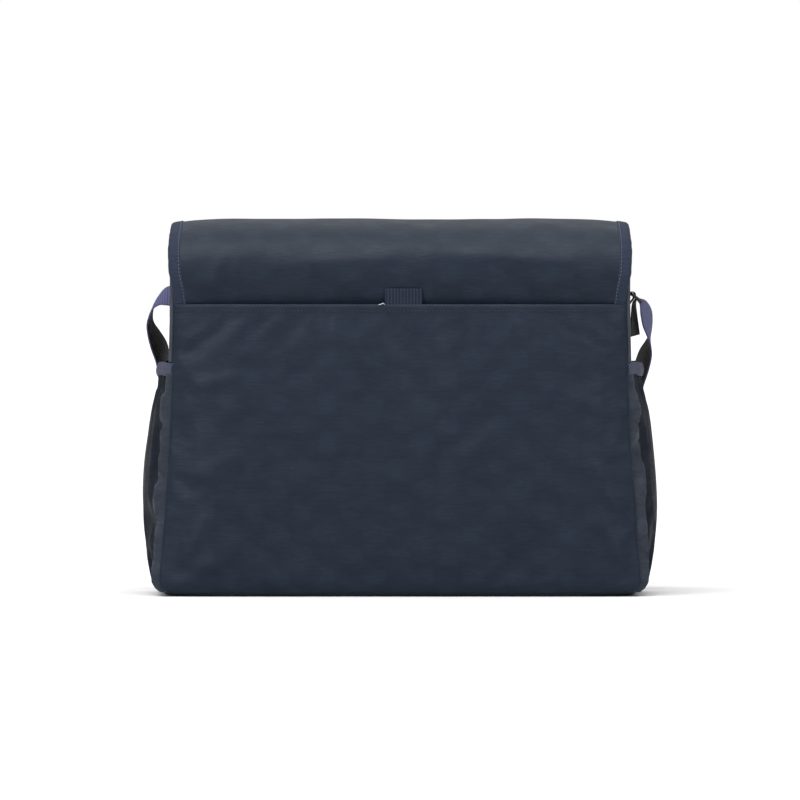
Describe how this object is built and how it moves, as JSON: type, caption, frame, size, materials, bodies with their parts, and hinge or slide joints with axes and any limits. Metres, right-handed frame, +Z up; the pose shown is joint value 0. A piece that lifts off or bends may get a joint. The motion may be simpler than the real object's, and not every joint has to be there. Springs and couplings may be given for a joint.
{
  "type": "diaper bag",
  "caption": "Soft shoulder diaper bag with a fold-over flap, a back slip pocket and gathered side pockets, closed by snaps, on an adjustable webbing strap.",
  "frame": {"origin": "middle of the flat base, on the ground", "axes": "+Z up; +X along the bag's width; the flap closes over the front at +Y, and the back with the full-width slip pocket faces -Y"},
  "size_m": [0.4254, 0.2521, 0.311],
  "materials": {
    "navy_fabric": "tonal woven jacquard, satin, coated",
    "navy_lining": "plain woven lining",
    "navy_tape": "ribbed grosgrain binding tape",
    "strap_webbing": "woven webbing, violet navy outside, black inside",
    "tab_webbing": "ribbed webbing",
    "stiffener": "matte board",
    "black_plastic": "moulded, satin",
    "snap_metal": "nickel plated, satin"
  },
  "bodies": {
    "bag": {"back_panel": "navy_fabric", "back_pocket": "navy_fabric", "back_pocket_tab": "tab_webbing", "base_board": "stiffener", "base_panel": "navy_fabric", "flap_back_binding_left": "navy_tape", "flap_back_binding_right": "navy_tape", "flap_back_lining": "navy_lining", "flap_back_panel": "navy_fabric", "front_panel": "navy_fabric", "front_pocket": "navy_fabric", "front_pocket_binding": "navy_tape", "gusset_left": "navy_fabric", "gusset_right": "navy_fabric", "inner_pocket": "navy_lining", "inner_pocket_elastic": "navy_tape", "lining": "navy_lining", "mouth_binding": "navy_tape", "side_pocket_band_left": "navy_tape", "side_pocket_band_right": "navy_tape", "side_pocket_left": "navy_fabric", "side_pocket_right": "navy_fabric", "snap_socket_left": "snap_metal", "snap_socket_right": "snap_metal", "strap_patch_left": "strap_webbing", "strap_patch_right": "strap_webbing", "zip_pocket_panel": "navy_lining", "zip_tape_lower": "navy_tape", "zip_tape_upper": "navy_tape"},
    "flap_top": {"flap_top_panel": "navy_fabric", "flap_top_lining": "navy_lining", "flap_top_binding_left": "navy_tape", "flap_top_binding_right": "navy_tape"},
    "flap_front": {"flap_front_panel": "navy_fabric", "flap_front_lining": "navy_lining", "flap_front_binding": "navy_tape", "snap_stud_left": "snap_metal", "snap_stud_right": "snap_metal"},
    "strap": {"shoulder_strap": "strap_webbing", "strap_free_end": "strap_webbing", "strap_loop": "strap_webbing", "strap_buckle": "black_plastic"},
    "zip_slider": {"zip_slider": "snap_metal"},
    "zip_puller": {"zip_puller": "snap_metal"}
  },
  "joints": [
    {"name": "flap_lift", "type": "hinge", "parent": "bag", "child": "flap_top", "pos_m": [0, -0.045, 0.30249], "axis": [1, 0, 0], "range_deg": [0, 180]},
    {"name": "flap_unfold", "type": "hinge", "parent": "flap_top", "child": "flap_front", "pos_m": [0, 0.045, 0.30463], "axis": [1, 0, 0], "range_deg": [0, 170]},
    {"name": "strap_swing", "type": "hinge", "parent": "bag", "child": "strap", "pos_m": [0, 0, 0.2475], "axis": [1, 0, 0], "range_deg": [0, 148]},
    {"name": "zip_slide", "type": "slide", "parent": "bag", "child": "zip_slider", "axis": [1, 0, 0], "range_m": [0, 0.205]},
    {"name": "zip_puller_swing", "type": "hinge", "parent": "zip_slider", "child": "zip_puller", "pos_m": [-0.095, -0.0504, 0.2335], "axis": [1, 0, 0], "range_deg": [0, 150]}
  ]
}
